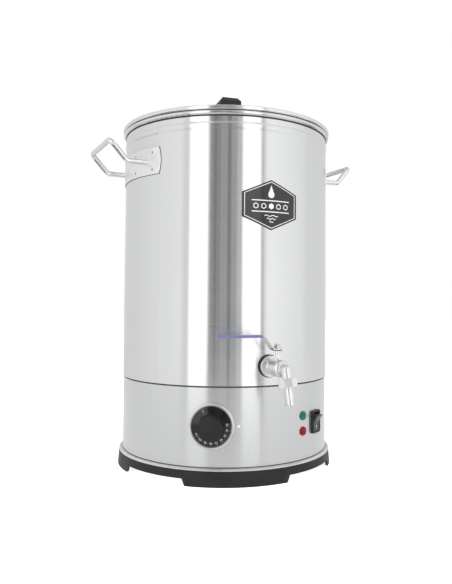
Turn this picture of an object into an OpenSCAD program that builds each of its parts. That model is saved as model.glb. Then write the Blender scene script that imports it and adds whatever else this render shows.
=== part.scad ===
// Electric brew kettle: stainless vessel on a stainless skirt that holds the heater and its controls,
// with a ball-valve tap, a loose lid, two side handles and a black foot ring.
// Frame: Z is the kettle's axis, Z = 0 is the plane the feet stand on, -Y is the control side,
// and the side handles lie along X. Azimuths are counted from -Y towards +X.

/* [Vessel] */
// Outside diameter of the vessel
vessel_d = 320; // [316:1:324]
// Sheet thickness of the vessel, the skirt and the lid
sheet = 1; // [0.8:0.1:1.2]
// Height of the seam between vessel and skirt
seam_z = 133; // [131:1:135]
// Height of the top of the rolled rim
rim_top_z = 510.5; // [505:0.5:520]

/* [Side handles] */
// Distance between the two legs of a handle
grip_w = 106; // [96:1:112]
// Diameter of the handle rod
rod_d = 7.6; // [6:0.2:9]
// Height of the legs where they meet the plate
leg_z = 446.5; // [440:0.5:450]

/* [Controls] */
// Azimuth of the thermostat dial
dial_az = -31.4; // [-34:0.2:-28]
// Height of the dial, and of the other controls' middle
dial_z = 79.5; // [74:0.5:84]
// Diameter of the dial
dial_d = 54; // [52:1:58]
// Azimuth of the two lamps
lamp_az = 19.4; // [18:0.2:20]
// Azimuth of the rocker switch
switch_az = 31; // [30:0.2:34]

/* [Tap] */
// Azimuth of the tap
tap_az = -3.1; // [-8:0.1:8]
// Height of the tap's axis
tap_z = 159.5; // [158:0.5:164]
// How far the spout leans outwards
spout_lean = 10; // [0:1:14]
// How far the spout is turned about the valve's axis
spout_turn = 3; // [-5:1:5]

/* [Feet] */
// Azimuth of the first foot
foot_az = -18.6; // [-45:0.2:45]
// Height of the gap between two feet
foot_gap_h = 9.5; // [7:0.5:10]

/* [Hidden] */

$fn = 96;
big = 400;
// A bar that follows a tilted bend starts this far inside it and this much thicker, so they fuse
lap = 0.5;
lap_r = 0.03;

// Vessel and skirt
vessel_r = vessel_d / 2;
tank_r = vessel_r - sheet;
floor_z = seam_z + 7;
skirt_r = tank_r - 0.1;
skirt_in_r = skirt_r - sheet;
skirt_bottom_z = 25;
groove_h = 1.6;
groove_deep = 1;
rim_tube_r = 3.3;
rim_r = vessel_r + 0.9;
rim_z = rim_top_z - rim_tube_r;
bead_z = rim_top_z - 21;
bead_half_h = 5.5;
tank_fillet = 4;

// Foot ring, trim ring and bottom cover
ring_top_z = 21.2;
ring_flange_t = 3;
ring_top_r = vessel_r + 4.3;
ring_foot_r = vessel_r + 5.8;
ring_wall = 3;
foot_wall = 4;
ring_in_r = 140;
cover_r = 146;
cover_t = 1.6;
cover_top_z = ring_top_z - ring_flange_t;
cover_screw_r = 143;
cover_screws = 6;
foot_gap_w = 113;

// Side handle plates and rods
plate_t = 1.5;
plate_half_w = 76;
plate_bulge = 3;
plate_low_z = 427.5;
plate_high_z = 466;
leg_out = 30;
leg_rise = 37.3;
rise_angle = 47.8;
rod_bend_r = 9;

// Badge
badge_w = 84.5;
badge_h = 70;
badge_side_h = 34;
badge_z = 381;
badge_az = -2.2;
badge_t = 1;

// Heater
plate_r = 120;
heat_plate_t = 3;
element_r = 95;
element_tube_r = 3.8;
element_sweep = 320;
element_start = 110;
terminal_h = 22;
terminal_r = 4.8;

// Dial, thermostat, lamps and switch
dial_r = dial_d / 2;
bezel_r = 31;
bezel_plate_y = 160;
bezel_rim_y = 162.9;
knob_back_y = 162.4;
knob_flange_t = 3.2;
grip_base_w = 34;
grip_top_w = 30.5;
grip_h = 15.5;
shaft_r = 3;
lamp_r = 6.4;
lamp_barrel_r = 4.9;
lamp_rise = 21.7;
green_z = dial_z + 6.4;
switch_z = dial_z - 6;
switch_w = 24;
switch_h = 32.4;
window_w = 17.4;
window_h = 27.2;
switch_face_y = 162.1;
rocker_pivot_y = 156.5;
rocker_half = 11.4;
rocker_w = 16.8;
rocker_tilt = 14;

// Reset button of the overheat cut-out
reset_x = 36;
reset_y = 62;

// Cable gland
gland_z = 48;

// Tap, in millimetres from the kettle's axis along the tap's own axis
valve_y = 186;
seat_end_y = 195;
drum_end_y = 202;
spout_y = 211;
spout_tube_r = 6.4;
spout_leg_r = 6.6;
spout_corner_r = 7;
spout_bore_r = 4;
ball_r = 8;
bore_r = 5;
boss_z = 13;
packing_h = 4.5;
lever_z = 24;
lever_t = 2;
lever_w = 13;
sleeve_w = 15;
grip_z = 41.5;
lever_tip_x = -88;
tip_rise = 1.4;
sleeve_t = 0.7;

// Lid
lid_edge_w = 3.6;
lid_edge_h = 5.8;
lid_edge_mid_r = vessel_r + 3;
lid_low_z = rim_top_z + 0.3;
lid_wall_r = rim_r - rim_tube_r - 0.5;
dome_r = 150;
dome_h = 22;
dome_z0 = rim_top_z - 6.5;
handle_az = -9;
handle_top_z = 574;
handle_w = 34;
handle_flat = 25;
handle_foot = 44;
handle_screw_y = 38;

// ---------------------------------------------------------------- helpers

// Moves children to an azimuth and height: local X is along the wall, local -Y points outwards.
module wall_at(az, z = 0) { rotate([0, 0, az]) translate([0, 0, z]) children(); }

// Cylinder along -Y between two distances from the kettle's axis.
module out_cyl(r, near, far) {
    translate([0, -near, 0]) rotate([90, 0, 0]) cylinder(r = r, h = far - near);
}

// Flat outline, drawn in X and Z, made solid between two distances along -Y.
module out_slab(near, far) {
    translate([0, -near, 0]) rotate([90, 0, 0]) linear_extrude(far - near) children();
}

module ring(r_out, r_in, z0, z1) {
    rotate_extrude() polygon([[r_in, z0], [r_out, z0], [r_out, z1], [r_in, z1]]);
}

// Solid round shape along -Y from an outline of [radius, distance] points.
module out_turned(points) { rotate([90, 0, 0]) rotate_extrude() polygon(points); }

function arc(cx, cy, r, a0, a1, n) =
    [for (i = [0:n]) let (a = a0 + (a1 - a0) * i / n) [cx + r * cos(a), cy + r * sin(a)]];

function rounded(w, h, r) = concat(
    arc(w / 2 - r, h / 2 - r, r, 0, 90, 4), arc(r - w / 2, h / 2 - r, r, 90, 180, 4),
    arc(r - w / 2, r - h / 2, r, 180, 270, 4), arc(w / 2 - r, r - h / 2, r, 270, 360, 4));

// Tube with flat mitred corners through a list of points, eight-sided.
function unit(v) = v / norm(v);
function miter(p, i) = i == 0 ? unit(p[1] - p[0])
    : i == len(p) - 1 ? unit(p[i] - p[i - 1])
    : unit(unit(p[i] - p[i - 1]) + unit(p[i + 1] - p[i]));
function side_axis(d) = let (across = [1, 0.37, 0.21]) unit(across - (across * d) * d);

module tube(p, r, sides = 8) {
    last = len(p) - 1;
    rings = [for (i = [0:last]) let (d = miter(p, i), u = side_axis(d), v = cross(d, u))
        for (k = [0:sides - 1]) p[i] + r * (cos(360 * k / sides) * u + sin(360 * k / sides) * v)];
    polyhedron(rings, concat(
        [[for (k = [0:sides - 1]) k]],
        [[for (k = [sides - 1:-1:0]) last * sides + k]],
        [for (i = [0:last - 1], k = [0:sides - 1]) let (n = (k + 1) % sides)
            [i * sides + n, i * sides + k, (i + 1) * sides + k, (i + 1) * sides + n]]));
}

// ---------------------------------------------------------------- vessel and base

function bead() = [
    [vessel_r, bead_z - bead_half_h], [vessel_r + 1, bead_z - bead_half_h / 2],
    [vessel_r + 1, bead_z + bead_half_h / 2], [vessel_r, bead_z + bead_half_h]];

function tub_outline() = concat(
    [[0, floor_z], [tank_r, floor_z], [tank_r, seam_z], [vessel_r, seam_z]],
    bead(),
    [[vessel_r, rim_z], [tank_r, rim_z]],
    arc(tank_r - tank_fillet, floor_z + sheet + tank_fillet, tank_fillet, 0, -90, 5),
    [[0, floor_z + sheet]]);

module vessel() color("#c8cacb") difference() {
    union() {
        rotate_extrude() polygon(tub_outline());
        rotate_extrude() translate([rim_r, rim_z]) circle(r = rim_tube_r);
    }
    wall_at(tap_az, tap_z) out_cyl(9.6, vessel_r - 12, vessel_r + 12);
}

// Outer line of the skirt's sheet: straight, into the groove under the vessel, and out again inside it.
function skirt_line(r) = [
    [r, skirt_bottom_z], [r, seam_z - groove_h - 0.8], [r - groove_deep, seam_z - groove_h],
    [r - groove_deep, seam_z + 0.2], [r, seam_z + 1.2], [r, floor_z - 1]];

module base_skirt() color("#bfc1c2") difference() {
    rotate_extrude() polygon(concat(skirt_line(skirt_r), [for (i = [5:-1:0]) skirt_line(skirt_in_r)[i]]));
    wall_at(dial_az, dial_z) {
        out_cyl(6, 140, 170);
        for (x = [-14, 14]) translate([x, 0, 0]) out_cyl(2.2, 140, 170);
    }
    for (z = [green_z, green_z - lamp_rise]) wall_at(lamp_az, z) out_cyl(lamp_barrel_r + 0.1, 140, 170);
    wall_at(switch_az, switch_z) out_slab(140, 170) square([19, 28.8], center = true);
    wall_at(180, gland_z) out_cyl(8, 140, 170);
}

// One seal in the groove under the vessel, one under the skirt's lower edge.
module seam_seals() color("#1d1d1e") {
    ring(skirt_r - groove_deep + 0.8, skirt_r - groove_deep, seam_z - groove_h + 0.2, seam_z);
    ring(skirt_r - 0.15, skirt_in_r, skirt_bottom_z - 0.9, skirt_bottom_z);
}

module trim_ring() color("#d5d7d8") rotate_extrude() polygon([
    [150, ring_top_z], [ring_top_r, ring_top_z], [ring_top_r, ring_top_z + 1.2],
    [ring_top_r - 2.6, skirt_bottom_z - 0.9], [skirt_in_r - 0.1, skirt_bottom_z - 0.9],
    [skirt_in_r - 0.1, skirt_bottom_z + 8], [skirt_in_r - 1.3, skirt_bottom_z + 8],
    [skirt_in_r - 1.3, ring_top_z + 1.2], [150, ring_top_z + 1.2]]);

module foot_gap() {
    out_slab(125, 180) polygon([
        [-foot_gap_w / 2, -1], [foot_gap_w / 2, -1],
        [foot_gap_w / 2 - 5, foot_gap_h], [5 - foot_gap_w / 2, foot_gap_h]]);
}

module cover_screw_places() {
    for (i = [0:cover_screws - 1]) rotate([0, 0, 15 + i * 360 / cover_screws])
        translate([cover_screw_r, 0, 0]) children();
}

module base_ring() color("#2c2c2e") difference() {
    rotate_extrude() polygon([
        [ring_in_r, ring_top_z], [ring_top_r, ring_top_z], [ring_foot_r, 0], [ring_foot_r - foot_wall, 0],
        [ring_top_r - ring_wall, cover_top_z], [ring_in_r, cover_top_z]]);
    for (i = [0:3]) wall_at(foot_az + 45 + 90 * i) foot_gap();
    cover_screw_places() translate([0, 0, 15]) cylinder(r = 1.7, h = 10);
}

module bottom_cover() color("#9ea1a3") difference() {
    translate([0, 0, cover_top_z - cover_t]) cylinder(r = cover_r, h = cover_t);
    cover_screw_places() translate([0, 0, 10]) cylinder(r = 1.7, h = 20);
    for (x = [-4:4], y = [-1, 1]) translate([x * 11, y * 88, cover_top_z]) cube([4, 34, 8], center = true);
    translate([reset_x, reset_y, 10]) cylinder(r = 4, h = 20);
}

module cross_recess(z) {
    for (a = [0, 90]) rotate([0, 0, a]) translate([0, 0, z]) cube([4, 0.9, 2.4], center = true);
}

module bottom_screws() color("#8c8e90") cover_screw_places() difference() {
    union() {
        translate([0, 0, cover_top_z - cover_t]) cylinder(r = 1.6, h = cover_t + ring_flange_t - 0.2);
        translate([0, 0, cover_top_z - cover_t - 2]) cylinder(r = 3.2, h = 2);
    }
    cross_recess(cover_top_z - cover_t - 2);
}

// ---------------------------------------------------------------- side handles and badge

function plate_outline() = let (
    half_h = (plate_high_z - plate_low_z) / 2,
    r = (half_h * half_h + plate_bulge * plate_bulge) / (2 * plate_bulge),
    a = asin(half_h / r),
    mid = (plate_high_z + plate_low_z) / 2)
    concat(arc(plate_half_w + plate_bulge - r, mid, r, -a, a, 6),
           arc(r - plate_half_w - plate_bulge, mid, r, 180 - a, 180 + a, 6));

module handle_plate(az) color("#cfd1d2") wall_at(az) difference() {
    intersection() {
        ring(vessel_r + plate_t, vessel_r, plate_low_z, plate_high_z);
        out_slab(10, big) polygon(plate_outline());
    }
    for (a = [-24, -9, 9, 24], z = [plate_low_z + 7, plate_high_z - 7])
        rotate([0, 0, a]) translate([0, 0, z]) out_cyl(1.8, vessel_r + plate_t - 0.5, vessel_r + plate_t + 2);
}

// One leg from the wall out and up to the corner, ending at the middle of the grip.
module rod_half(r) {
    t1 = rod_bend_r * tan(rise_angle / 2);
    straight = leg_rise - t1 - rod_bend_r;
    out_cyl(r, -8, leg_out - t1);
    translate([0, t1 - leg_out, rod_bend_r]) rotate([0, 90, 180])
        rotate_extrude(angle = rise_angle) translate([rod_bend_r, 0]) circle(r = r, $fn = 32);
    translate([0, t1 - leg_out - rod_bend_r * sin(rise_angle), rod_bend_r * (1 - cos(rise_angle))])
        rotate([-rise_angle, 0, 0]) {
            out_cyl(r + lap_r, -lap, straight);
            translate([rod_bend_r, -straight, 0]) rotate([0, 0, 180])
                rotate_extrude(angle = 90) translate([rod_bend_r, 0]) circle(r = r, $fn = 32);
            translate([rod_bend_r, -straight - rod_bend_r, 0])
                rotate([0, 90, 0]) cylinder(r = r, h = grip_w / 2 - rod_bend_r);
        }
}

module handle_rod(az) color("#dcdddd") difference() {
    wall_at(az, leg_z) for (side = [0, 1]) mirror([side, 0, 0])
        translate([-grip_w / 2, -sqrt(vessel_r * vessel_r - grip_w * grip_w / 4), 0]) rod_half(rod_d / 2);
    cylinder(r = vessel_r + plate_t, h = 600, $fn = 180);
}

module badge() color("#262626") wall_at(badge_az, badge_z) intersection() {
    ring(vessel_r + badge_t, vessel_r, -badge_h, badge_h);
    out_slab(100, big) polygon([
        [0, badge_h / 2], [badge_w / 2, badge_side_h / 2], [badge_w / 2, -badge_side_h / 2],
        [0, -badge_h / 2], [-badge_w / 2, -badge_side_h / 2], [-badge_w / 2, badge_side_h / 2]]);
}

// ---------------------------------------------------------------- heater

module heat_plate() color("#b4b6b8")
    translate([0, 0, floor_z - heat_plate_t]) cylinder(r = plate_r, h = heat_plate_t);

module heating_element() color("#8f8a80") {
    top_z = floor_z - heat_plate_t - 0.1 - element_tube_r;
    rotate([0, 0, element_start]) {
        translate([0, 0, top_z]) rotate_extrude(angle = element_sweep)
            translate([element_r, 0]) circle(r = element_tube_r, $fn = 32);
        for (a = [0, element_sweep]) rotate([0, 0, a]) translate([element_r, 0, top_z]) {
            translate([0, 0, -terminal_h]) cylinder(r = terminal_r, h = terminal_h + element_tube_r);
        }
    }
}

// ---------------------------------------------------------------- thermostat and dial

module thermostat_body() color("#e4e0d4") wall_at(dial_az, dial_z) difference() {
    union() {
        out_slab(118, 146) polygon(rounded(38, 34, 3));
        out_cyl(5, 146, skirt_in_r - 0.6);
        for (x = [-14, 14]) translate([x, 0, 0]) out_cyl(3.5, 146, skirt_in_r - 1);
    }
    out_cyl(shaft_r + 0.06, 128, 170);
    for (x = [-14, 14]) translate([x, 0, 0]) out_cyl(1.9, 150, 170);
}

module thermostat_bulb() color("#b0713c") {
    translate([-20, 20, floor_z - heat_plate_t - 3.3]) rotate([90, 0, 0]) cylinder(r = 3.2, h = 60);
    tube([[-20, -40, 133.7], [-20, -62, 130], [-42, -86, 104], [-58, -98, 92]], 1);
}

module thermostat_screws() color("#a9abad") wall_at(dial_az, dial_z) for (x = [-14, 14])
    translate([x, 0, 0]) {
        out_cyl(1.8, 151, bezel_plate_y);
        out_cyl(3.6, bezel_plate_y, bezel_plate_y + 1.8);
    }

module dial_bezel() color("#d9dada") difference() {
    wall_at(dial_az, dial_z) difference() {
        out_turned([[0, 150], [bezel_r, 150], [bezel_r, bezel_rim_y - 2.2], [bezel_r - 0.5, bezel_rim_y - 1],
            [bezel_r - 1.3, bezel_rim_y - 0.25], [bezel_r - 2.1, bezel_rim_y],
            [dial_r + 1, bezel_rim_y - 0.4], [0, bezel_rim_y - 0.4]]);
        out_cyl(dial_r + 0.8, bezel_plate_y, 180);
        out_cyl(6, 140, 180);
        for (x = [-14, 14]) translate([x, 0, 0]) out_cyl(1.9, 140, 180);
    }
    cylinder(r = skirt_r, h = big, $fn = 180);
}

// Eight-sided tapered grip: each pair of opposite faces is one tapered slab.
module knob_grip() {
    intersection_for (i = [0:3]) rotate([0, i * 45, 0])
        translate([0, 0, -40]) linear_extrude(80) polygon([
            [-grip_base_w / 2, 0], [grip_base_w / 2, 0],
            [grip_top_w / 2, -grip_h], [-grip_top_w / 2, -grip_h]]);
}

module dial_knob() color("#232324") wall_at(dial_az, dial_z) difference() {
    union() {
        out_turned([[0, knob_back_y], [dial_r - 0.6, knob_back_y], [dial_r, knob_back_y + 0.6],
            [dial_r, knob_back_y + 1.2], [grip_base_w / 2, knob_back_y + knob_flange_t],
            [0, knob_back_y + knob_flange_t]]);
        translate([0, -knob_back_y - knob_flange_t + 0.2, 0]) rotate([0, 22.5, 0]) knob_grip();
    }
    out_cyl(shaft_r, 160, 174);
}

module dial_shaft() color("#b8babb") wall_at(dial_az, dial_z) out_cyl(shaft_r, 129, 174);

// ---------------------------------------------------------------- lamps and switch

module lamp(z) wall_at(lamp_az, z) out_turned([
    [0, 140], [lamp_barrel_r, 140], [lamp_barrel_r, skirt_r], [lamp_r, skirt_r], [lamp_r, skirt_r + 1.2],
    [lamp_r - 0.5, skirt_r + 1.9], [lamp_r - 1.7, skirt_r + 2.8], [lamp_r - 3.4, skirt_r + 3.4],
    [0, skirt_r + 3.7]]);

module green_lamp() color("#3f8f78") lamp(green_z);
module red_lamp() color("#a3182a") lamp(green_z - lamp_rise);

module lamp_nuts() color("#3a3a3c") for (z = [green_z, green_z - lamp_rise]) wall_at(lamp_az, z)
    difference() {
        translate([0, -152.5, 0]) rotate([90, 0, 0]) cylinder(r = 8.4, h = 4, $fn = 6);
        out_cyl(lamp_barrel_r + 0.1, 150, 160);
    }

module switch_housing() color("#242425") difference() {
    wall_at(switch_az, switch_z) difference() {
        union() {
            difference() {
                out_slab(156, switch_face_y) polygon(rounded(switch_w, switch_h, 3));
                rotate([0, 0, -switch_az]) cylinder(r = skirt_r, h = big, center = true, $fn = 180);
            }
            out_slab(134, switch_face_y - 1) square([18.8, 28.6], center = true);
        }
        out_slab(147, 170) square([window_w, window_h], center = true);
        translate([0, -rocker_pivot_y, 0]) rotate([0, 90, 0]) cylinder(r = 1.6, h = 20, center = true);
    }
}

function rocker_outline() = concat(
    [for (i = [-6:6]) let (v = rocker_half * i / 6) [5.8 + 3.2 * v * v / (rocker_half * rocker_half), v]],
    [[1, rocker_half], [-4, 5], [-4, -5], [1, -rocker_half]]);

module rocker() color("#38383a") wall_at(switch_az, switch_z)
    translate([0, -rocker_pivot_y, 0]) rotate([rocker_tilt, 0, 0]) {
        translate([rocker_w / 2, 0, 0]) rotate([0, -90, 0]) linear_extrude(rocker_w)
            polygon([for (p = rocker_outline()) [p[1], -p[0]]]);
        rotate([0, 90, 0]) cylinder(r = 1.52, h = 18.4, center = true);
    }

// ---------------------------------------------------------------- cut-out, gland and wiring

module overheat_cutout() color("#d8d4c6") translate([reset_x, reset_y, cover_top_z]) difference() {
    translate([-15, -11, 0]) cube([30, 22, 24]);
    translate([0, 0, -1]) cylinder(r = 3.06, h = 19);
}

module reset_button() color("#b02020") translate([reset_x, reset_y, 13.4]) cylinder(r = 3, h = 18);

module cable_gland() color("#303032") wall_at(180, gland_z) difference() {
    union() {
        out_cyl(7.9, 142, skirt_r + 2);
        translate([0, -skirt_r, 0]) rotate([90, 0, 0]) cylinder(r = 12.5, h = 5, $fn = 6);
        out_turned([[0, skirt_r + 4], [10, skirt_r + 4], [10, skirt_r + 14],
            [7.2, skirt_r + 19], [0, skirt_r + 19]]);
    }
    out_cyl(4.1, 130, 190);
}

module gland_nut() color("#303032") wall_at(180, gland_z) difference() {
    translate([0, -151, 0]) rotate([90, 0, 0]) cylinder(r = 12.5, h = 5, $fn = 6);
    out_cyl(7.95, 150, 157);
}

module terminal_block() color("#e8e6df") translate([-30, 88, cover_top_z]) difference() {
    cube([42, 18, 16]);
    for (i = [0:3]) translate([6 + 10 * i, 9, 8]) cylinder(r = 2.6, h = 10);
}

module wiring() color("#4a4a4c") {
    terminal_top = cover_top_z + 8;
    switch_back = [134 * sin(switch_az), -134 * cos(switch_az)];
    stat_back = [118 * sin(dial_az), -118 * cos(dial_az)];
    tube([[-24, 97, terminal_top], [-24, 97, 66], [-44, 40, 66], [20, -70, 66],
              [switch_back[0] - 3, switch_back[1] + 5, 69]], 1.3);
    tube([[-14, 97, terminal_top], [-14, 97, 58], [-30, 40, 58], [-10, -60, 58],
              [stat_back[0] + 8, stat_back[1] + 8, 74]], 1.3);
    tube([[-4, 97, terminal_top], [-4, 97, 50], [20, 97, 50], [32.5, 89.3, 90], [32.5, 89.3, 110.8]], 1.3);
    tube([[6, 97, terminal_top], [6, 97, 42], [reset_x - 10, reset_y + 5, 60],
              [reset_x - 8, reset_y + 3, cover_top_z + 24.2]], 1.3);
}

// ---------------------------------------------------------------- tap

module tap_gasket_outer() color("#1c1c1d") difference() {
    wall_at(tap_az, tap_z) difference() {
        out_cyl(15.5, 150, vessel_r + 3);
        out_cyl(9.6, 140, 170);
    }
    cylinder(r = vessel_r, h = 300, $fn = 180);
}

module tap_gasket_inner() color("#1c1c1d") intersection() {
    wall_at(tap_az, tap_z) difference() {
        out_cyl(14, tank_r - 3.6, vessel_r);
        out_cyl(9.6, 140, 170);
    }
    cylinder(r = tank_r, h = 300, $fn = 180);
}

module tap_locknut() color("#c5c7c8") wall_at(tap_az, tap_z) difference() {
    translate([0, -(tank_r - 10), 0]) rotate([90, 0, 0]) cylinder(r = 15, h = 6.4, $fn = 6);
    out_cyl(9.45, 140, 170);
}

module valve_body() color("#c3c5c6") wall_at(tap_az, tap_z) difference() {
    union() {
        out_cyl(9.4, 140, vessel_r + 3);
        out_turned([[0, vessel_r + 3], [14.5, vessel_r + 3], [14.5, vessel_r + 5.9], [13.9, vessel_r + 6.5],
            [10.4, vessel_r + 6.5], [10.4, vessel_r + 14], [9.6, vessel_r + 14.8], [9.6, vessel_r + 16.5],
            [11.6, vessel_r + 18.5], [11.6, drum_end_y - 4.5], [10.9, drum_end_y - 1.6], [9, drum_end_y],
            [0, drum_end_y]]);
        translate([0, -valve_y, 0]) cylinder(r = 6, h = boss_z);
    }
    out_cyl(bore_r, 130, valve_y);
    out_cyl(8.6, 177, 210);
    translate([0, -valve_y, 0]) cylinder(r = 3.28, h = 30);
}

module ball_seats() color("#f0efe8") wall_at(tap_az, tap_z) difference() {
    for (y = [177.1, 190.6]) out_cyl(8.5, y, y + 4.3);
    out_cyl(bore_r, 170, 200);
    translate([0, -valve_y, 0]) sphere(r = ball_r + 0.1);
}

module packing_nut() color("#c0c2c3") wall_at(tap_az, tap_z) translate([0, -valve_y, boss_z])
    difference() {
        cylinder(r = 5.4, h = packing_h, $fn = 6);
        translate([0, 0, -1]) cylinder(r = 3.28, h = 8);
    }

module stem_washer() color("#1b1b1c") wall_at(tap_az, tap_z) translate([0, -valve_y, lever_z - 1.2])
    difference() {
        cylinder(r = 6.3, h = 1.2);
        translate([0, 0, -1]) cylinder(r = 3.22, h = 8);
    }

module valve_ball() color("#dfe0e0") wall_at(tap_az, tap_z) translate([0, -valve_y, 0]) difference() {
    sphere(r = ball_r);
    rotate([0, 90, 0]) cylinder(r = bore_r, h = 30, center = true);
    translate([0, 0, 5.5]) cylinder(r = 3.22, h = 6);
}

module valve_stem() color("#b9bbbc") wall_at(tap_az, tap_z) translate([0, -valve_y, 5.6])
    cylinder(r = 3.2, h = 27.6);

// Side outline of the lever: flat at the stem, up the slope, then flat to an upturned tip.
function lever_side(low, thick) = let (slope = [[-7.8, lever_z], [-22, grip_z]])
    concat([[7, low + lever_z], [slope[0][0], low + lever_z], [slope[1][0], low + grip_z],
            [lever_tip_x + 6, low + grip_z], [lever_tip_x, low + grip_z + tip_rise]],
           [[lever_tip_x, low + grip_z + tip_rise + thick], [lever_tip_x + 6, low + grip_z + thick],
            [slope[1][0] + 1, low + grip_z + thick], [slope[0][0] + 1, low + lever_z + thick],
            [7, low + lever_z + thick]]);

// Plan outline: a strip with round ends.
function strip(x0, x1, w) = concat(
    arc(x1 - w / 2, 0, w / 2, -90, 90, 10), arc(x0 + w / 2, 0, w / 2, 90, 270, 10));

module lever_plate() color("#c9cbcc") wall_at(tap_az, tap_z) translate([0, -valve_y, 0]) difference() {
    intersection() {
        out_slab(-lever_w, lever_w) polygon(lever_side(0, lever_t));
        linear_extrude(60) polygon(strip(lever_tip_x, lever_w / 2, lever_w));
    }
    cylinder(r = 3.22, h = 60);
    linear_extrude(60) polygon(strip(-20, -9, 4.6));
}

module lever_sleeve() color("#8488b6") wall_at(tap_az, tap_z) translate([0, -valve_y, 0]) difference() {
    intersection() {
        out_slab(-sleeve_w, sleeve_w) polygon(lever_side(-sleeve_t, lever_t + 2 * sleeve_t));
        linear_extrude(60) polygon(strip(lever_tip_x - 1, -24.5 + sleeve_w / 2, sleeve_w));
        translate([-24.5 - 100, -50, 0]) cube([100, 100, 80]);
    }
    intersection() {
        out_slab(-lever_w, lever_w) polygon(lever_side(0, lever_t));
        linear_extrude(60) polygon(strip(lever_tip_x, lever_w / 2, lever_w));
    }
}

module lever_nut() color("#c0c2c3") wall_at(tap_az, tap_z) translate([0, -valve_y, lever_z + lever_t])
    difference() {
        cylinder(r = 4.9, h = 5.6, $fn = 6);
        translate([0, 0, -1]) cylinder(r = 3.22, h = 8);
    }

// Frame of the spout: local -Z runs down the outlet from the elbow's corner.
module spout_frame() {
    wall_at(tap_az, tap_z) rotate([0, -spout_turn, 0]) translate([0, -spout_y, 0])
        rotate([-spout_lean, 0, 0]) children();
}

// A neck out of the drum and an outlet leg that meet in a round corner, bored through.
module spout_elbow() color("#d2d4d4") difference() {
    union() {
        wall_at(tap_az, tap_z) rotate([0, -spout_turn, 0]) out_turned([
            [0, seat_end_y], [8.5, seat_end_y], [8.5, drum_end_y], [7.2, drum_end_y],
            [7.2, drum_end_y + 1.2], [spout_tube_r, drum_end_y + 2], [spout_tube_r, spout_y], [0, spout_y]]);
        spout_frame() {
            sphere(r = spout_corner_r);
            rotate_extrude() polygon([[0, -16], [8.4, -16], [8.4, -11.6], [spout_leg_r, -11.6],
                [spout_leg_r, 0], [0, 0]]);
        }
    }
    wall_at(tap_az, tap_z) rotate([0, -spout_turn, 0]) out_cyl(spout_bore_r, 190, spout_y);
    spout_frame() {
        sphere(r = spout_bore_r + 0.2);
        translate([0, 0, -20]) cylinder(r = spout_bore_r - 0.1, h = 20);
    }
}

module union_nut() color("#c6c8c9") spout_frame() difference() {
    intersection() {
        translate([0, 0, -22.7]) cylinder(r = 12.9, h = 11.4, $fn = 8);
        rotate_extrude() polygon([
            [0, -22.7], [11.9, -22.7], [13, -21.4], [13, -12.6], [11.9, -11.3], [0, -11.3]]);
    }
    translate([0, 0, -18.5]) cylinder(r = 8.5, h = 10);
    translate([0, 0, -30]) cylinder(r = 6.15, h = 20);
}

module outlet_tube() color("#d6d8d8") spout_frame() difference() {
    rotate_extrude() polygon([[0, -45.5], [5.6, -45.5], [6, -44.9], [6, -22.7], [5.6, -22.7],
        [5.6, -18.4], [8.3, -18.4], [8.3, -16.1], [0, -16.1]]);
    translate([0, 0, -50]) cylinder(r = 4.4, h = 40);
}

// ---------------------------------------------------------------- lid

function dome(r) = dome_z0 + dome_h * (1 - r * r / (dome_r * dome_r));
function dome_line(drop) = [for (i = [0:8]) let (r = dome_r * i / 8) [r, dome(r) - drop]];

module lid_pan() color("#cbcdcc") difference() {
    union() {
        rotate_extrude() polygon(concat(
            dome_line(0),
            [[lid_wall_r - sheet, dome_z0], [lid_wall_r - sheet, lid_low_z + sheet],
             [lid_edge_mid_r, lid_low_z + sheet], [lid_edge_mid_r, lid_low_z],
             [lid_wall_r, lid_low_z], [lid_wall_r, dome_z0 - sheet]],
            [for (i = [8:-1:0]) dome_line(sheet)[i]]));
        rotate_extrude() translate([lid_edge_mid_r, lid_low_z + lid_edge_h / 2])
            polygon(rounded(lid_edge_w, lid_edge_h, 1.6));
    }
    rotate([0, 0, handle_az]) for (y = [-1, 1])
        translate([0, y * handle_screw_y, 500]) cylinder(r = 2.2, h = 60);
}

module lid_handle() color("#2a2a2b") difference() {
    rotate([0, 0, handle_az]) difference() {
        intersection() {
            rotate([90, 0, 90]) translate([0, 0, -handle_w / 2]) linear_extrude(handle_w) polygon([
                [-handle_foot, 515], [-handle_foot, 530], [-handle_flat, 556],
                [-handle_flat, handle_top_z - 6], [5 - handle_flat, handle_top_z],
                [handle_flat - 5, handle_top_z], [handle_flat, handle_top_z - 6],
                [handle_flat, 556], [handle_foot, 530], [handle_foot, 515],
                [32, 515], [32, 532], [15, 554], [-15, 554], [-32, 532], [-32, 515]]);
            out_slab(-60, 60) polygon([
                [-handle_w / 2, 500], [handle_w / 2, 500], [handle_w / 2, handle_top_z - 5.5],
                [handle_w / 2 - 4.5, handle_top_z], [4.5 - handle_w / 2, handle_top_z],
                [-handle_w / 2, handle_top_z - 5.5]]);
        }
        for (y = [-1, 1]) translate([0, y * handle_screw_y, 500]) cylinder(r = 1.9, h = 33);
    }
    rotate_extrude() polygon(concat([[0, 500]], dome_line(0), [[dome_r, 500]]));
}

module lid_handle_screws() color("#a9abad") rotate([0, 0, handle_az]) for (y = [-1, 1])
    translate([0, y * handle_screw_y, 0]) {
        translate([0, 0, dome(handle_screw_y) - sheet - 2]) cylinder(r = 1.8, h = 10);
        translate([0, 0, dome(handle_screw_y) - sheet - 3.4]) cylinder(r = 3.8, h = 2.2);
    }

// ---------------------------------------------------------------- one line per node

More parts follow.
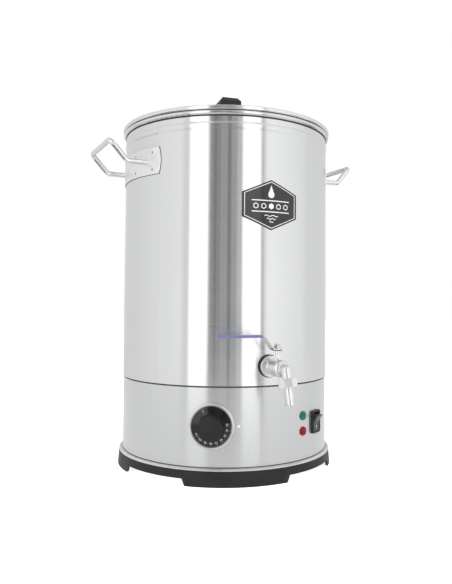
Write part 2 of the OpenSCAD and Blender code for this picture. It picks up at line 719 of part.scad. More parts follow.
vessel();
base_skirt();
seam_seals();
trim_ring();
base_ring();
bottom_cover();
bottom_screws();
handle_plate(-90);  // left_handle_plate
handle_rod(-90);  // left_handle_rod
handle_plate(90);  // right_handle_plate
handle_rod(90);  // right_handle_rod
badge();
heat_plate();
heating_element();
thermostat_body();
thermostat_bulb();
thermostat_screws();
dial_bezel();
overheat_cutout();
green_lamp();
red_lamp();
lamp_nuts();
switch_housing();
cable_gland();
gland_nut();
terminal_block();
wiring();
tap_gasket_outer();
tap_gasket_inner();
tap_locknut();
valve_body();
ball_seats();
packing_nut();
stem_washer();
spout_elbow();
union_nut();
outlet_tube();
lid_pan();
lid_handle();
lid_handle_screws();
lever_plate();
lever_sleeve();
lever_nut();
valve_stem();
valve_ball();
dial_knob();
dial_shaft();
rocker();
reset_button();
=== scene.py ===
import math
from math import radians

import bmesh
import bpy
from mathutils import Matrix, Vector


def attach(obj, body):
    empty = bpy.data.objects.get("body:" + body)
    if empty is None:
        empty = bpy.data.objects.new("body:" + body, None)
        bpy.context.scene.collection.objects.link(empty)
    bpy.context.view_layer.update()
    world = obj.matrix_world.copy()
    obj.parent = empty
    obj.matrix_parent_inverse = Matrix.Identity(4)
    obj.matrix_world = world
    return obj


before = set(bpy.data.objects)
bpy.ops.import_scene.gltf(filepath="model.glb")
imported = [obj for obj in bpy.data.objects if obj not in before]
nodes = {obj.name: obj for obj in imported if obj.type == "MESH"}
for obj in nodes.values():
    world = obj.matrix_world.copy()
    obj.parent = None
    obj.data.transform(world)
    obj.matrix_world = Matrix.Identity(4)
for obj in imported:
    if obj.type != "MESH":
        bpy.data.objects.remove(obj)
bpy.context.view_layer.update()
scene = bpy.context.scene

# Places on the kettle, in metres and degrees, as in the CAD source. Azimuth 0 is the control side.
VESSEL_R = 0.160
SKIRT_R = 0.1589
SEAM_Z = 0.133
BEAD_FOOT_Z = 0.4815
RIM_GAP_Z = (0.5025, 0.5043)
DIAL_AZ, DIAL_Z = -31.4, 0.0795
DIAL_FACE_R = 0.1624
GRIP_FOOT_R = 0.1659
SWITCH_AZ, SWITCH_Z = 31.0, 0.0735
BADGE_AZ, BADGE_Z = -2.2, 0.381
BADGE_T = 0.001
PLATE_Z = 0.44675
PLATE_HALF_W, PLATE_HALF_H, PLATE_BULGE = 0.076, 0.01925, 0.003
WELD_FLOOR_R = 0.16101

INK = 0.00012
SHARP_DEGREES = 28


# ------------------------------------------------------------------ materials

def map_range(tree, source, low, high, out_low, out_high):
    """Wires in a node that maps a value from low..high to out_low..out_high."""
    n = tree.nodes.new("ShaderNodeMapRange")
    for key, value in (("From Min", low), ("From Max", high), ("To Min", out_low), ("To Max", out_high)):
        n.inputs[key].default_value = value
    tree.links.new(source, n.inputs["Value"])
    return n.outputs["Result"]


class Mat:
    """A node material: a Principled shader plus short helpers to wire textures into it."""

    def __init__(self, name, **values):
        self.mat = bpy.data.materials.new(name)
        self.mat.use_nodes = True
        self.tree = self.mat.node_tree
        self.shader = self.tree.nodes["Principled BSDF"]
        for key, value in values.items():
            socket = self.shader.inputs[key.replace("_", " ")]
            socket.default_value = (*value, 1.0) if isinstance(value, tuple) else value

    def node(self, kind, **props):
        n = self.tree.nodes.new(kind)
        for key, value in props.items():
            setattr(n, key, value)
        return n

    def link(self, a, b):
        self.tree.links.new(a, b)

    def coords(self, scale):
        """Object coordinates, stretched: the CAD pieces all share the kettle's frame."""
        tex = self.node("ShaderNodeTexCoord")
        mapping = self.node("ShaderNodeMapping")
        mapping.inputs["Scale"].default_value = scale
        self.link(tex.outputs["Object"], mapping.inputs["Vector"])
        return mapping.outputs["Vector"]

    def noise(self, scale, stretch=(1, 1, 1), detail=3.0):
        n = self.node("ShaderNodeTexNoise")
        n.inputs["Scale"].default_value = scale
        n.inputs["Detail"].default_value = detail
        n.inputs["Roughness"].default_value = 0.55
        self.link(self.coords(stretch), n.inputs["Vector"])
        return n.outputs["Fac"]

    def spread(self, fac, low, high, out_low=0.0, out_high=1.0):
        return map_range(self.tree, fac, low, high, out_low, out_high)

    def blend(self, a, share_a, b, share_b):
        """The sum of two values, each with its own share."""
        total = self.node("ShaderNodeMath", operation="ADD")
        for socket, value, share in zip(total.inputs, (a, b), (share_a, share_b)):
            part = self.node("ShaderNodeMath", operation="MULTIPLY")
            part.inputs[1].default_value = share
            self.link(value, part.inputs[0])
            self.link(part.outputs[0], socket)
        return total.outputs[0]

    def colour(self, fac, low, high):
        n = self.node("ShaderNodeMix", data_type="RGBA")
        n.inputs["A"].default_value = (*low, 1)
        n.inputs["B"].default_value = (*high, 1)
        self.link(fac, n.inputs["Factor"])
        self.link(n.outputs["Result"], self.shader.inputs["Base Color"])

    def roughness(self, fac, low, high):
        self.link(self.spread(fac, 0.3, 0.7, low, high), self.shader.inputs["Roughness"])

    def bump(self, fac, strength, distance):
        n = self.node("ShaderNodeBump")
        n.inputs["Strength"].default_value = strength
        n.inputs["Distance"].default_value = distance
        self.link(fac, n.inputs["Height"])
        self.link(n.outputs["Normal"], self.shader.inputs["Normal"])

    def tangent_round(self):
        n = self.node("ShaderNodeTangent", direction_type="RADIAL", axis="Z")
        self.link(n.outputs["Tangent"], self.shader.inputs["Tangent"])


def grey(level):
    return level, level, level


def brushed_steel(name, dark=(0.74, 0.745, 0.75), tint=(0.80, 0.805, 0.81), rough=(0.17, 0.25), aniso=0.95,
                  metallic=1.0, lines_bump=0.06):
    """Sheet brushed round the kettle's axis: fine level lines, reflections blurred up and down."""
    m = Mat(name, Metallic=metallic, Anisotropic=aniso, Anisotropic_Rotation=0.25)
    fine = m.noise(1.0, (3, 3, 3600), detail=1.0)
    broad = m.noise(1.0, (2, 2, 900), detail=2.0)
    cloud = m.noise(6.0, (1, 1, 0.5), detail=2.0)
    lines = m.blend(fine, 0.7, broad, 0.3)
    m.colour(m.spread(m.blend(lines, 0.6, cloud, 0.4), 0.3, 0.7), dark, tint)
    m.roughness(lines, *rough)
    m.bump(lines, lines_bump, 0.00002)
    m.tangent_round()
    return m.mat


def satin_steel(name, dark, tint, rough, grain=900.0, bump=0.4):
    """Cast, drawn or plated metal with a fine tumbled grain."""
    m = Mat(name, Metallic=1.0)
    grainy = m.noise(grain, detail=3.0)
    cloud = m.noise(90.0, detail=3.0)
    m.colour(m.spread(cloud, 0.35, 0.65), dark, tint)
    m.roughness(cloud, *rough)
    m.bump(grainy, bump, 0.00005)
    return m.mat


def bright_steel(name, dark, tint, rough):
    """Drawn or polished steel with faint scuffs."""
    m = Mat(name, Metallic=1.0)
    scuff = m.noise(220.0, detail=4.0)
    hair = m.noise(1.0, (60, 60, 1500), detail=1.0)
    m.colour(m.spread(scuff, 0.3, 0.7), dark, tint)
    m.roughness(scuff, *rough)
    m.bump(hair, 0.03, 0.00002)
    return m.mat


def moulded(name, dark, light, rough=(0.42, 0.6), grain=1400.0, bump=0.25, **more):
    """Moulded plastic or rubber: faint spark-eroded grain and slightly uneven gloss."""
    m = Mat(name, **more)
    grainy = m.noise(grain, detail=2.0)
    cloud = m.noise(45.0, detail=4.0)
    m.colour(m.spread(cloud, 0.3, 0.75), dark, light)
    m.roughness(cloud, *rough)
    m.bump(grainy, bump, 0.00006)
    return m.mat


def lens(name, dark, light):
    """Tinted clear plastic over a lamp, with small ribs."""
    m = Mat(name, Specular_IOR_Level=0.3, Subsurface_Weight=0.12, Subsurface_Scale=0.002)
    ribs = m.noise(650.0, detail=1.0)
    deep = m.noise(120.0, detail=2.0)
    m.colour(m.spread(deep, 0.3, 0.7), dark, light)
    m.roughness(deep, 0.12, 0.22)
    m.bump(ribs, 0.25, 0.0001)
    return m.mat


def heat_tinted():
    """The heating element's sheath, discoloured by heat."""
    m = Mat("element_sheath", Metallic=0.9)
    tint = m.noise(28.0, detail=4.0)
    grainy = m.noise(900.0, detail=2.0)
    m.colour(m.spread(tint, 0.35, 0.65), (0.30, 0.23, 0.17), (0.52, 0.50, 0.48))
    m.roughness(tint, 0.35, 0.55)
    m.bump(grainy, 0.3, 0.00005)
    return m.mat


def printed(name, worn, full):
    """Ink or paint on a surface, thinner in places."""
    m = Mat(name)
    patch = m.noise(700.0, detail=3.0)
    m.colour(m.spread(patch, 0.3, 0.7), worn, full)
    m.roughness(patch, 0.45, 0.6)
    m.bump(patch, 0.1, 0.00002)
    return m.mat


# Sheet, drawn, cast and plated metals
VESSEL_STEEL = brushed_steel("vessel_brushed")
SKIRT_STEEL = brushed_steel("skirt_brushed", (0.625, 0.63, 0.635), (0.64, 0.645, 0.65), (0.22, 0.26),
                            aniso=0.92, metallic=0.85, lines_bump=0.004)
LID_STEEL = satin_steel("lid_spun", (0.78, 0.775, 0.76), (0.82, 0.815, 0.80), (0.15, 0.20), 300.0, 0.02)
PLATE_STEEL = satin_steel("plate_satin", grey(0.87), grey(0.95), (0.34, 0.42), 500.0)
TRIM_STEEL = satin_steel("trim_satin", grey(0.76), grey(0.82), (0.34, 0.40), 500.0, 0.02)
ROD_STEEL = bright_steel("rod_bright", grey(0.80), grey(0.88), (0.22, 0.24))
LEVER_STEEL = bright_steel("lever_bright", grey(0.62), grey(0.74), (0.16, 0.28))
CAST_STEEL = satin_steel("tap_cast", grey(0.79), grey(0.88), (0.26, 0.36), 700.0)
WELD_STEEL = satin_steel("weld_marks", (0.42, 0.41, 0.40), (0.55, 0.54, 0.53), (0.35, 0.5))
NUT_STEEL = satin_steel("tap_nut", grey(0.84), grey(0.92), (0.38, 0.46), 700.0)
ZINC_STEEL = satin_steel("zinc_plated", (0.50, 0.52, 0.53), (0.66, 0.68, 0.70), (0.32, 0.46))
ALUMINIUM = satin_steel("aluminium_plate", grey(0.62), grey(0.78), (0.35, 0.5), 400.0)
COPPER = satin_steel("copper_tube", (0.62, 0.32, 0.20), (0.80, 0.46, 0.30), (0.2, 0.35), 500.0)
SHEATH = heat_tinted()

# Plastics, rubber and ceramics
BLACK_PLASTIC = moulded("black_plastic", (0.012, 0.012, 0.013), (0.020, 0.020, 0.021), Specular_IOR_Level=0.3)
RING_PLASTIC = moulded("ring_plastic", (0.010, 0.010, 0.011), (0.018, 0.018, 0.019), (0.4, 0.55), 900.0, 0.4,
                       Specular_IOR_Level=0.3)
GLOSS_BLACK = moulded("gloss_black", grey(0.002), grey(0.004), (0.08, 0.12), 500.0, 0.04)
GRIP_BLACK = moulded("grip_black", grey(0.008), grey(0.014), (0.4, 0.55), 900.0, 0.15, Specular_IOR_Level=0.35)
ROCKER_BLACK = moulded("rocker_black", (0.018, 0.018, 0.019), (0.03, 0.03, 0.031), (0.22, 0.34), 800.0, 0.12)
BADGE_BLACK = moulded("badge_black", (0.018, 0.018, 0.019), (0.026, 0.026, 0.027), (0.10, 0.16), 300.0, 0.04)
# Real rubber for the tap gaskets, and painted shade for the bands at the plates' edges, in the rim's gap, and for
# the seam and washer rings
RUBBER_AND_SHADE = moulded("black_rubber", grey(0.012), grey(0.022), (0.6, 0.8))
CERAMIC = moulded("ceramic_cream", (0.70, 0.67, 0.58), (0.80, 0.78, 0.70), (0.4, 0.6))
PTFE = moulded("ptfe_white", (0.80, 0.80, 0.77), (0.88, 0.88, 0.86), (0.35, 0.5))
VINYL = moulded("blue_vinyl", (0.12, 0.125, 0.27), (0.16, 0.165, 0.33), (0.3, 0.45), 600.0, 0.15,
                Coat_Weight=0.2, Coat_Roughness=0.25)
WIRE = moulded("wire_sleeve", (0.05, 0.05, 0.055), (0.08, 0.08, 0.085), (0.4, 0.55))
RED_PLASTIC = moulded("red_plastic", (0.42, 0.02, 0.02), (0.52, 0.04, 0.035), (0.25, 0.4))
GREEN_LENS = lens("green_lens", (0.008, 0.11, 0.068), (0.016, 0.17, 0.11))
RED_LENS = lens("red_lens", (0.18, 0.002, 0.006), (0.27, 0.003, 0.010))

WHITE_INK = printed("white_ink", grey(0.68), grey(0.82))
GREY_INK = printed("grey_ink", grey(0.42), grey(0.55))

FINISHES = (
    (VESSEL_STEEL, "vessel"),
    (SKIRT_STEEL, "base_skirt"),
    (LID_STEEL, "lid_pan"),
    (TRIM_STEEL, "trim_ring dial_bezel"),
    (PLATE_STEEL, "left_handle_plate right_handle_plate"),
    (ROD_STEEL, "left_handle_rod right_handle_rod valve_ball dial_shaft valve_stem"),
    (LEVER_STEEL, "lever_plate lever_nut"),
    (CAST_STEEL, "valve_body packing_nut spout_elbow outlet_tube tap_locknut"),
    (NUT_STEEL, "union_nut"),
    (ZINC_STEEL, "bottom_cover bottom_screws thermostat_screws lid_handle_screws"),
    (ALUMINIUM, "heat_plate"),
    (COPPER, "thermostat_bulb"),
    (SHEATH, "heating_element"),
    (BLACK_PLASTIC, "lid_handle switch_housing cable_gland gland_nut lamp_nuts"),
    (RING_PLASTIC, "base_ring"),
    (GLOSS_BLACK, "dial_knob"),
    (ROCKER_BLACK, "rocker"),
    (BADGE_BLACK, "badge"),
    # seam_seals and stem_washer are black rings set in the seams and under the lever plate to stand for the shade
    # there: painted shade
    (RUBBER_AND_SHADE, "tap_gasket_outer tap_gasket_inner seam_seals stem_washer"),
    (CERAMIC, "thermostat_body overheat_cutout terminal_block"),
    (PTFE, "ball_seats"),
    (VINYL, "lever_sleeve"),
    (WIRE, "wiring"),
    (RED_PLASTIC, "reset_button"),
    (GREEN_LENS, "green_lamp"),
    (RED_LENS, "red_lamp"),
)

# Softened edges, in metres, where the real piece has them
EDGES = (
    (0.0014, "lid_handle"),
    (0.0006, "base_ring lever_sleeve"),
    (0.0005, "switch_housing dial_knob"),
    (0.0004, "rocker union_nut packing_nut lever_nut cable_gland tap_locknut"),
    (0.0003, "outlet_tube lever_plate badge valve_body spout_elbow left_handle_plate right_handle_plate"),
)


def by_name(table):
    """Turns rows of (value, "name name ...") into one value for each name."""
    return {name: value for value, names in table for name in names.split()}


def paint(obj, material):
    obj.data.materials.clear()
    obj.data.materials.append(material)


def sharpen(mesh, degrees):
    """Marks the edges whose faces meet at more than an angle as sharp."""
    bm = bmesh.new()
    bm.from_mesh(mesh)
    sharp = [e.index for e in bm.edges
             if len(e.link_faces) != 2 or e.calc_face_angle(math.pi) > radians(degrees)]
    bm.free()
    for i in sharp:
        mesh.edges[i].use_edge_sharp = True


def finish_cad_nodes():
    finish = by_name(FINISHES)
    edge = by_name(EDGES)
    for name, obj in nodes.items():
        paint(obj, finish[name])
        for poly in obj.data.polygons:
            poly.use_smooth = True
            poly.material_index = 0
        sharpen(obj.data, SHARP_DEGREES)
        if name in edge:
            bevel = obj.modifiers.new("edge", "BEVEL")
            bevel.width = edge[name]
            bevel.segments = 2
            bevel.limit_method = "ANGLE"
            bevel.angle_limit = radians(SHARP_DEGREES)
            bevel.harden_normals = True


def true_round(name, radius):
    """Gives a rolled wall the exact normals of its cylinder, so that its holes leave no marks in it."""
    mesh = nodes[name].data
    tolerance = 0.00002
    normals = [(0.0, 0.0, 0.0)] * len(mesh.loops)
    for poly in mesh.polygons:
        corners = [mesh.vertices[i].co for i in poly.vertices]
        if all(abs(co.xy.length - radius) < tolerance for co in corners):
            for loop, co in zip(poly.loop_indices, corners):
                normals[loop] = tuple(Vector((co.x, co.y, 0)).normalized())
    mesh.normals_split_custom_set(normals)


def paint_grip():
    """The dial's grip is duller than the flange it stands on."""
    dial = nodes["dial_knob"]
    dial.data.materials.append(GRIP_BLACK)
    a = radians(DIAL_AZ)
    outward = Vector((math.sin(a), -math.cos(a), 0))
    for poly in dial.data.polygons:
        if (dial.matrix_world @ poly.center).dot(outward) > GRIP_FOOT_R:
            poly.material_index = 1


def paint_welds():
    """The spot welds sunk in the handle plates are darker than the plates."""
    tolerance = 0.00003
    for name in ("left_handle_plate", "right_handle_plate"):
        mesh = nodes[name].data
        mesh.materials.append(WELD_STEEL)
        for poly in mesh.polygons:
            if any(abs(mesh.vertices[i].co.xy.length - WELD_FLOOR_R) < tolerance for i in poly.vertices):
                poly.material_index = 1


# ------------------------------------------------------------------ printed and fitted details

def turn_z(degrees):
    return Matrix.Rotation(radians(degrees), 4, "Z")


def turn_x(degrees):
    return Matrix.Rotation(radians(degrees), 4, "X")


def out_matrix(azimuth, height, radius):
    """Local X runs along the wall, local Y up and local Z outwards, at a place on the kettle."""
    return turn_z(azimuth) @ Matrix.Translation((0, -radius, height)) @ turn_x(90)


def new_object(name, bm):
    mesh = bpy.data.meshes.new(name)
    bm.to_mesh(mesh)
    bm.free()
    obj = bpy.data.objects.new(name, mesh)
    scene.collection.objects.link(obj)
    return obj


def new_piece(name, bm, material, body):
    obj = new_object(name, bm)
    paint(obj, material)
    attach(obj, body)
    return obj


def join_rings(bm, a, b, closed=True):
    """Faces between two rows of vertices with the same count."""
    n = len(a)
    for i in range(n if closed else n - 1):
        j = (i + 1) % n
        bm.faces.new((a[i], a[j], b[j], b[i]))


def add_prism(bm, outline, z0, z1):
    """A flat outline [(x, y), ...] made solid between two heights."""
    low = [bm.verts.new((x, y, z0)) for x, y in outline]
    high = [bm.verts.new((x, y, z1)) for x, y in outline]
    bm.faces.new(list(reversed(low)))
    bm.faces.new(high)
    join_rings(bm, low, high)


def add_frame(bm, outer, inner, z0, z1):
    """A solid band between two outlines with the same number of corners."""
    rings = [[bm.verts.new((x, y, z)) for x, y in ring] for ring in (outer, inner) for z in (z0, z1)]
    for a, b in ((0, 1), (1, 3), (3, 2), (2, 0)):
        join_rings(bm, rings[a], rings[b])
    bmesh.ops.recalc_face_normals(bm, faces=bm.faces)


def add_ribbon(bm, points, half, z0, z1):
    """A thin solid band of even height along a row of points, cut finely enough to follow the wall."""
    section = ((-half, z0), (half, z0), (half, z1), (-half, z1))
    rows = [[bm.verts.new((x, y + side, z)) for side, z in section] for x, y in points]
    for a, b in zip(rows, rows[1:]):
        join_rings(bm, a, b)
    bm.faces.new(list(reversed(rows[0])))
    bm.faces.new(rows[-1])


def wrap_on_wall(bm, azimuth, height, radius):
    """Bends flat work, drawn in x along the wall, y up and z outwards, round the kettle's wall."""
    for v in bm.verts:
        a = radians(azimuth) + v.co.x / radius
        r = radius + v.co.z
        v.co = Vector((r * math.sin(a), -r * math.cos(a), height + v.co.y))


def dense_line(points, count):
    """A closed outline with each side cut into a number of steps, so that it bends with the wall."""
    out = []
    for p, q in zip(points, points[1:] + points[:1]):
        out += [(p[0] + (q[0] - p[0]) * k / count, p[1] + (q[1] - p[1]) * k / count) for k in range(count)]
    return out


def hexagon(half_w, half_h, side_half):
    return [(0, half_h), (half_w, side_half), (half_w, -side_half),
            (0, -half_h), (-half_w, -side_half), (-half_w, side_half)]


def badge_print():
    """A thin border and a plain motif of a drop, bars, cells and waves. It stands for no maker."""
    bm = bmesh.new()
    side_steps = 14
    outer = dense_line(hexagon(0.0395, 0.0327, 0.0159), side_steps)
    inner = dense_line(hexagon(0.0386, 0.0317, 0.0154), side_steps)
    add_frame(bm, outer, inner, 0, INK)

    drop_r, drop_y, drop_tip_y = 0.0047, 0.0145, 0.0275
    drop = [(drop_r * math.sin(radians(a)), drop_y - drop_r * math.cos(radians(a))) for a in range(-130, 131, 10)]
    add_prism(bm, drop + [(0, drop_tip_y)], 0, INK)

    bar_half_w, bar_half_h = 0.029, 0.0007
    for y in (0.0060, -0.0095):
        add_ribbon(bm, [(bar_half_w * (i / 15 - 1), y) for i in range(31)], bar_half_h, 0, INK)

    cell_r, cell_y, cell_step, hole_part = 0.0042, -0.00175, 0.0115, 0.7
    for i in range(-2, 3):
        cx = i * cell_step
        cell = [(cx + cell_r * math.cos(radians(a)), cell_y + cell_r * math.sin(radians(a)))
                for a in range(30, 390, 60)]
        if i == 0:
            add_prism(bm, cell, 0, INK)
        else:
            hole = [(cx + hole_part * (x - cx), cell_y + hole_part * (y - cell_y)) for x, y in cell]
            add_frame(bm, cell, hole, 0, INK)

    wave_half_h, wave_rise = 0.00055, 0.0008
    for y, half in ((-0.0150, 0.0105), (-0.0192, 0.0068), (-0.0234, 0.003)):
        wave = [(half * (i / 8 - 1), y + wave_rise * math.sin(i * math.pi / 4)) for i in range(17)]
        add_ribbon(bm, wave, wave_half_h, 0, INK)

    bmesh.ops.recalc_face_normals(bm, faces=bm.faces)
    wrap_on_wall(bm, BADGE_AZ, BADGE_Z, VESSEL_R + BADGE_T)
    new_piece("badge_print", bm, WHITE_INK, "kettle")


def text_outline(body, size):
    """Mesh of a short text, centred, lying in X and Y."""
    curve = bpy.data.curves.new("numeral", "FONT")
    curve.body = body
    curve.size = size
    curve.align_x = "CENTER"
    curve.align_y = "CENTER"
    curve.extrude = 0.00004
    curve.resolution_u = 3
    obj = bpy.data.objects.new("numeral", curve)
    scene.collection.objects.link(obj)
    bpy.context.view_layer.update()
    mesh = bpy.data.meshes.new_from_object(obj.evaluated_get(bpy.context.evaluated_depsgraph_get()))
    bpy.data.objects.remove(obj)
    bpy.data.curves.remove(curve)
    return mesh


def tick_mesh(r0, r1, half):
    """A short stroke along the radius, standing a little out of the dial on both sides of its surface."""
    line = bmesh.new()
    add_prism(line, [(r0, -half), (r1, -half), (r1, half), (r0, half)], -INK / 2, INK / 2)
    mesh = bpy.data.meshes.new("tick")
    line.to_mesh(mesh)
    line.free()
    return mesh


def dial_scale():
    """Numerals and ticks on the dial's sloping flange: 30 to 110 degrees, and an off mark."""
    bm = bmesh.new()
    values = range(30, 111, 10)
    # The scale starts near the pointer, at the right, and runs clockwise to the left
    first_turn, step, off_turn = 10, 20.0, 118
    numeral_size, numeral_r, tick_end_r = 0.0041, 0.0216, 0.0257

    def add(part, turn):
        part.transform(turn_z(turn))
        bm.from_mesh(part)
        bpy.data.meshes.remove(part)

    for i, value in enumerate(values):
        turn = first_turn - i * step
        numeral = text_outline(str(value), numeral_size)
        numeral.transform(turn_z(-90) @ Matrix.Translation((0, numeral_r, 0)))
        add(numeral, turn)
        add(tick_mesh(0.0243, tick_end_r, 0.0002), turn)
        if value < values[-1]:
            add(tick_mesh(0.0249, tick_end_r, 0.00016), turn - step / 2)
    add(tick_mesh(0.0208, 0.0254, 0.0003), off_turn)

    # The flange rises from its edge towards the grip that stands on it
    flange_r, edge_rise, slope = 0.027, 0.0012, 0.2
    for v in bm.verts:
        v.co.z += edge_rise + (flange_r - v.co.xy.length) * slope
    bmesh.ops.transform(bm, matrix=out_matrix(DIAL_AZ, DIAL_Z, DIAL_FACE_R), verts=bm.verts)
    new_piece("dial_scale", bm, GREY_INK, "dial")


def dial_pointer():
    """The small painted arrow on the skirt that points at the dial."""
    bm = bmesh.new()
    half_w, half_h, turn = 0.0024, 0.0021, 13.0
    add_prism(bm, [(-half_w, 0), (half_w, half_h), (half_w, -half_h)], 0, INK)
    wrap_on_wall(bm, DIAL_AZ + turn, DIAL_Z, SKIRT_R)
    bmesh.ops.recalc_face_normals(bm, faces=bm.faces)
    new_piece("dial_pointer", bm, WHITE_INK, "kettle")


def rocker_mark():
    """The plain stroke that marks the on end of a rocker, on its curved face."""
    bm = bmesh.new()
    rows, foot, length, half_w, half_t = 8, -0.0083, 0.0046, 0.0005, 0.0001
    # The rocker's pins, its tilt at rest, and its hollow face: depth at the middle, extra depth at the ends
    pin_r, tilt, middle, extra, half_length = 0.1565, 14, 0.0058, 0.0032, 0.0114
    place = turn_z(SWITCH_AZ) @ Matrix.Translation((0, -pin_r, SWITCH_Z)) @ turn_x(tilt)
    grid = []
    for i in range(rows + 1):
        z = foot + length * i / rows
        depth = middle + extra * (z / half_length) ** 2
        grid.append([[bm.verts.new(place @ Vector((x, -depth - rise, z))) for x in (-half_w, half_w)]
                     for rise in (-half_t, half_t)])
    for a, b in zip(grid, grid[1:]):
        for k in (0, 1):
            bm.faces.new((a[k][0], a[k][1], b[k][1], b[k][0]))
        for k in (0, 1):
            bm.faces.new((a[0][k], b[0][k], b[1][k], a[1][k]))
    for row in (grid[0], grid[-1]):
        bm.faces.new((row[0][0], row[0][1], row[1][1], row[1][0]))
    bmesh.ops.recalc_face_normals(bm, faces=bm.faces)
    new_piece("rocker_mark", bm, WHITE_INK, "rocker_body")


def plate_crevices():
    """Painted shade: a black band along each handle plate's edge, where it meets the wall, standing for the
    shadow there.
    """
    r = (PLATE_HALF_H ** 2 + PLATE_BULGE ** 2) / (2 * PLATE_BULGE)
    sweep = math.asin(PLATE_HALF_H / r)
    for name, azimuth in (("left", -90), ("right", 90)):
        rings = []
        for grow in (0.0005, -0.0012):
            side = [(PLATE_HALF_W + PLATE_BULGE - r + (r + grow) * math.cos(a), (r + grow) * math.sin(a))
                    for a in [sweep * (k / 10 - 1) for k in range(21)]]
            top = PLATE_HALF_H + grow
            side = [(x, max(-top, min(top, y * top / PLATE_HALF_H))) for x, y in side]
            across = [(side[-1][0] * (1 - k / 12), top) for k in range(1, 24)]
            half = side + across
            rings.append(half + [(-x, -y) for x, y in half])
        bm = bmesh.new()
        add_frame(bm, rings[0], rings[1], 0.0, 0.00035)
        # The plate's outline is drawn flat, so each x is a chord and becomes a length along the wall
        for v in bm.verts:
            v.co.x = VESSEL_R * math.asin(v.co.x / VESSEL_R)
        wrap_on_wall(bm, azimuth, PLATE_Z, VESSEL_R)
        bmesh.ops.recalc_face_normals(bm, faces=bm.faces)
        # The band is painted shade in a black material, not a rubber part
        new_piece(name + "_plate_edge_shadow", bm, RUBBER_AND_SHADE, "kettle")


def rim_crevice():
    """Painted shade: a black band standing for the shadow in the gap where the rim's roll turns back to the wall.
    """
    bm = bmesh.new()
    turns = [radians(2 * k) for k in range(180)]
    outer, inner = ([(r * math.cos(a), r * math.sin(a)) for a in turns]
                    for r in (VESSEL_R + 0.0004, VESSEL_R - 0.0003))
    add_frame(bm, outer, inner, *RIM_GAP_Z)
    # The band is painted shade in a black material, not a rubber part
    new_piece("rim_crevice", bm, RUBBER_AND_SHADE, "kettle")


def back_weld():
    """The vessel's upright weld, dressed almost flat, at the back."""
    bm = bmesh.new()
    low, steps = SEAM_Z + 0.001, 150
    profile = ((-1, -0.00005), (-0.5, 0.00010), (0, 0.00015), (0.5, 0.00010), (1, -0.00005))
    rows = []
    for i in range(steps + 1):
        z = low + (BEAD_FOOT_Z - low) * i / steps
        half_w = 0.0011 + 0.0001 * math.sin(i * 1.9) + 0.00006 * math.sin(i * 0.7)
        rows.append([bm.verts.new((half_w * side, z, rise)) for side, rise in profile])
    for a, b in zip(rows, rows[1:]):
        join_rings(bm, a, b, closed=False)
    wrap_on_wall(bm, 180, 0, VESSEL_R)
    bmesh.ops.recalc_face_normals(bm, faces=bm.faces)
    obj = new_piece("vessel_weld", bm, PLATE_STEEL, "kettle")
    for poly in obj.data.polygons:
        poly.use_smooth = True


# ------------------------------------------------------------------ stage, lights and camera

# The camera stands in front and to the left; angles of the studio are counted from it
CAMERA_AT = Vector((-0.4267, -0.9072, 0.2489))
CAMERA_AZ = -25.2
CARD_R = 2.3
CARD_Z = (-0.8, 3.2)

# The cards round the kettle, which its bright wall mirrors: name, first and last azimuth, light at each
# of them, and how strong the stripes are
CARDS = (
    ("behind_left", -18, 5, 0.27, 0.31, 0.8),
    ("behind_right", 5, 17.5, 0.34, 0.60, 0.6),
    ("softbox_left", -38.5, -18, 1.6, 1.6, 0.0),
    ("softbox_right", 17.5, 37.5, 1.6, 1.6, 0.0),
    ("gap_right", 37.5, 40, 0.15, 0.3, 0.0),
    ("edge_right", 40, 44, 0.78, 1.02, 0.0),
    ("fill_right", 44, 95, 1.10, 0.90, 0.02),
    ("side_right", 95, 160, 0.84, 0.74, 0.02),
    ("back_right", 160, 180, 0.5, 0.3, 0.0),
    ("edge_left", -47, -38.5, 0.88, 0.70, 0.0),
    ("fill_left", -100, -47, 0.84, 0.98, 0.04),
    ("side_left", -165, -100, 0.72, 0.82, 0.03),
    ("back_left", -180, -165, 0.4, 0.5, 0.0),
)


def multiply(tree, a, b):
    n = tree.nodes.new("ShaderNodeMath")
    n.operation = "MULTIPLY"
    tree.links.new(a, n.inputs[0])
    tree.links.new(b, n.inputs[1])
    return n.outputs[0]


def glow(name, start, end, stripes):
    """Light that runs evenly from one upright edge of a card to the other, with upright stripes if asked."""
    mat = bpy.data.materials.new(name)
    mat.use_nodes = True
    tree = mat.node_tree
    tree.nodes.clear()
    coords = tree.nodes.new("ShaderNodeTexCoord")
    mapping = tree.nodes.new("ShaderNodeMapping")
    mapping.inputs["Scale"].default_value = (18, 18, 0.05)
    noise = tree.nodes.new("ShaderNodeTexNoise")
    noise.inputs["Scale"].default_value = 1.0
    noise.inputs["Detail"].default_value = 1.0
    across = tree.nodes.new("ShaderNodeSeparateXYZ")
    emit = tree.nodes.new("ShaderNodeEmission")
    out = tree.nodes.new("ShaderNodeOutputMaterial")
    tree.links.new(coords.outputs["Object"], mapping.inputs["Vector"])
    tree.links.new(mapping.outputs["Vector"], noise.inputs["Vector"])
    tree.links.new(coords.outputs["UV"], across.inputs[0])
    level = map_range(tree, across.outputs["X"], 0, 1, start, end)
    ripple = map_range(tree, noise.outputs["Fac"], 0.35, 0.65, 1 - stripes, 1 + stripes)
    tree.links.new(multiply(tree, level, ripple), emit.inputs["Strength"])
    tree.links.new(emit.outputs[0], out.inputs[0])
    return mat


def stage_object(name, bm, material):
    obj = new_object(name, bm)
    obj.data.materials.append(material)
    return obj


def stage_plane(name, size, z, material):
    bm = bmesh.new()
    half = size / 2
    corners = ((-half, -half), (half, -half), (half, half), (-half, half))
    bm.faces.new([bm.verts.new((x, y, z)) for x, y in corners])
    return stage_object(name, bm, material)


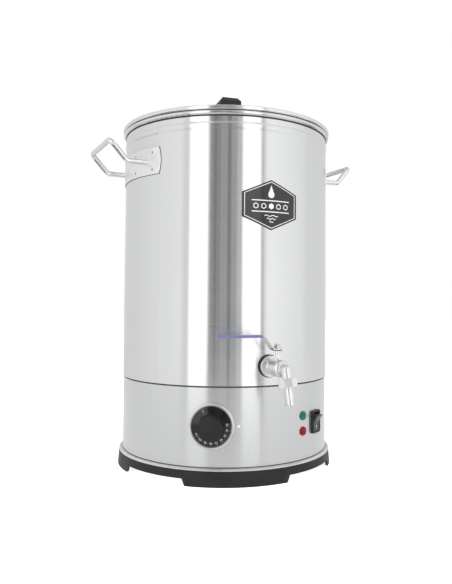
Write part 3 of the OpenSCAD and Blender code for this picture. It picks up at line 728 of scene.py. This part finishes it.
def card(name, azimuth0, azimuth1, material):
    """A curved upright card between two azimuths, seen only by reflections and light."""
    bm = bmesh.new()
    steps = max(2, int(abs(azimuth1 - azimuth0) / 3))
    cols = []
    for i in range(steps + 1):
        a = radians(CAMERA_AZ + azimuth0 + (azimuth1 - azimuth0) * i / steps)
        cols.append([bm.verts.new((CARD_R * math.sin(a), -CARD_R * math.cos(a), z)) for z in CARD_Z])
    across = bm.loops.layers.uv.new("UVMap")
    for i in range(steps):
        face = bm.faces.new((cols[i][0], cols[i + 1][0], cols[i + 1][1], cols[i][1]))
        for loop, u, v in zip(face.loops, (i, i + 1, i + 1, i), (0, 0, 1, 1)):
            loop[across].uv = (u / steps, v)
    obj = stage_object(name, bm, material)
    obj.visible_camera = False
    obj.visible_shadow = False


def sky():
    """White at eye level, dark under the floor and greyer towards the ceiling."""
    world = bpy.data.worlds.new("studio")
    world.use_nodes = True
    tree = world.node_tree
    back = tree.nodes["Background"]
    back.inputs["Color"].default_value = (1.0, 1.0, 1.0, 1)
    coords = tree.nodes.new("ShaderNodeTexCoord")
    axes = tree.nodes.new("ShaderNodeSeparateXYZ")
    tree.links.new(coords.outputs["Generated"], axes.inputs[0])
    below = map_range(tree, axes.outputs["Z"], -0.45, -0.25, 0.05, 1.0)
    above = map_range(tree, axes.outputs["Z"], 0.7, 0.85, 1.0, 0.6)
    tree.links.new(multiply(tree, below, above), back.inputs["Strength"])
    scene.world = world


def floors():
    """The pale floor, which no metal mirrors, and the lit floor close by, which only metals mirror."""
    paper = Mat("floor_paper", Roughness=0.5, Emission_Color=(1.0, 1.0, 1.0), Emission_Strength=0.8)
    cloud = paper.noise(3.0, detail=2.0)
    paper.colour(paper.spread(cloud, 0.3, 0.7), grey(0.91), grey(0.93))
    paper.roughness(cloud, 0.4, 0.5)
    stage_plane("floor", 12, 0, paper.mat).visible_glossy = False

    lit = glow("floor_glow", 0.8, 0.8, 0.0)
    lit.cycles.emission_sampling = "NONE"
    near = stage_plane("floor_near", 1.3, -0.001, lit)
    near.visible_camera = near.visible_shadow = near.visible_diffuse = False


def overhead_lamp():
    lamp = bpy.data.lights.new("overhead", "AREA")
    lamp.shape = "RECTANGLE"
    lamp.size = 1.6
    lamp.size_y = 1.2
    lamp.energy = 16
    obj = bpy.data.objects.new("overhead", lamp)
    obj.location = (-0.3, -0.4, 1.9)
    obj.rotation_euler = (Vector((0, 0, 0.25)) - obj.location).to_track_quat("-Z", "Y").to_euler()
    obj.visible_glossy = False
    scene.collection.objects.link(obj)


def studio():
    sky()
    floors()
    for name, first, last, start, end, stripes in CARDS:
        card(name, first, last, glow(name, start, end, stripes))
    overhead_lamp()
    scene.view_settings.view_transform = "Standard"


def camera():
    data = bpy.data.cameras.new("camera")
    data.sensor_width = 36.0
    data.lens = 38.29
    # The lens axis passes a little beside the picture's middle: shifts in parts of the picture's height
    data.shift_x = -0.0234075342
    data.shift_y = -0.0377397260
    data.clip_start = 0.01
    level = Vector((0.4462, 0.8949, 0)).normalized()
    pitch, roll = radians(2.80), radians(0.38)
    forward = level * math.cos(pitch) + Vector((0, 0, math.sin(pitch)))
    right = level.cross(Vector((0, 0, 1))).normalized()
    up = right.cross(forward)
    right, up = (right * math.cos(roll) + up * math.sin(roll),
                 up * math.cos(roll) - right * math.sin(roll))
    obj = bpy.data.objects.new("camera", data)
    obj.matrix_world = Matrix.Translation(CAMERA_AT) @ Matrix((right, up, -forward)).transposed().to_4x4()
    scene.collection.objects.link(obj)
    scene.camera = obj


finish_cad_nodes()
true_round("vessel", VESSEL_R)
true_round("base_skirt", SKIRT_R)
paint_grip()
paint_welds()
badge_print()
dial_scale()
dial_pointer()
rocker_mark()
plate_crevices()
rim_crevice()
back_weld()
studio()
camera()
bpy.context.view_layer.update()
